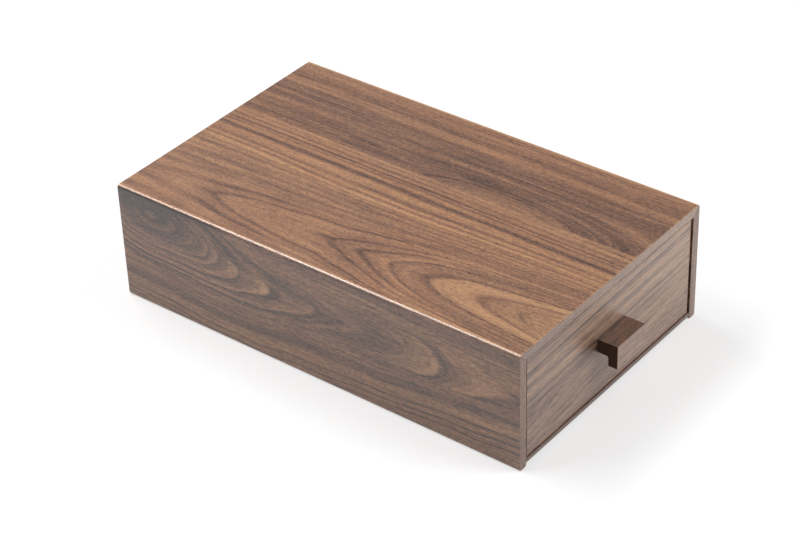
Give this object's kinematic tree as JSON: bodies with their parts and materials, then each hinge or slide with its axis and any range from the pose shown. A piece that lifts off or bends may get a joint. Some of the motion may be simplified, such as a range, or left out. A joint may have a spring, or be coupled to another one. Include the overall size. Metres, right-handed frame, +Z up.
{
  "type": "wooden puzzle box with a drawer",
  "caption": "Walnut puzzle box: a mitred open-ended case with an inset drawer, a hooked wooden pull and a hidden sliding key that locks the drawer.",
  "frame": {"origin": "bottom centre of the footprint, pull included, on the plane that the feet stand on", "axes": "+X across the width, to the right seen from the drawer's front; +Y from the drawer's front to the back; +Z up"},
  "size_m": [0.185, 0.313, 0.081],
  "materials": {
    "walnut_top": "oiled walnut with long grain, satin",
    "walnut_side": "oiled walnut with long grain, satin",
    "walnut_front": "oiled walnut with grain across the width, satin",
    "walnut_bottom": "oiled walnut, satin",
    "walnut_drawer": "oiled walnut, satin",
    "dark_walnut": "dark oiled walnut, satin",
    "birch": "raw birch, matt",
    "felt": "charcoal wool felt, matt",
    "cork": "cork, matt",
    "brass": "turned brass",
    "steel": "zinc-plated steel"
  },
  "bodies": {
    "case": {"case_top": "walnut_top", "case_left_side": "walnut_side", "case_right_side": "walnut_side", "case_bottom": "walnut_bottom", "case_back": "walnut_front", "left_mitre_spline": "birch", "right_mitre_spline": "birch", "left_stop_pad": "cork", "right_stop_pad": "cork", "key_front_guide": "birch", "key_rear_guide": "birch"},
    "key": {"lock_key": "dark_walnut", "lock_peg": "brass"},
    "drawer": {"drawer_front": "walnut_front", "drawer_left_side": "walnut_drawer", "drawer_right_side": "walnut_drawer", "drawer_back": "walnut_drawer", "drawer_bottom": "birch", "drawer_lining": "felt", "lock_keeper": "birch", "drawer_pull": "dark_walnut", "pull_screws": "steel"}
  },
  "joints": [
    {"name": "drawer_slide", "type": "slide", "parent": "case", "child": "drawer", "axis": [0, -1, 0], "range_m": [0, 0.248]},
    {"name": "key_slide", "type": "slide", "parent": "case", "child": "key", "axis": [1, 0, 0], "range_m": [0, 0.01]}
  ]
}
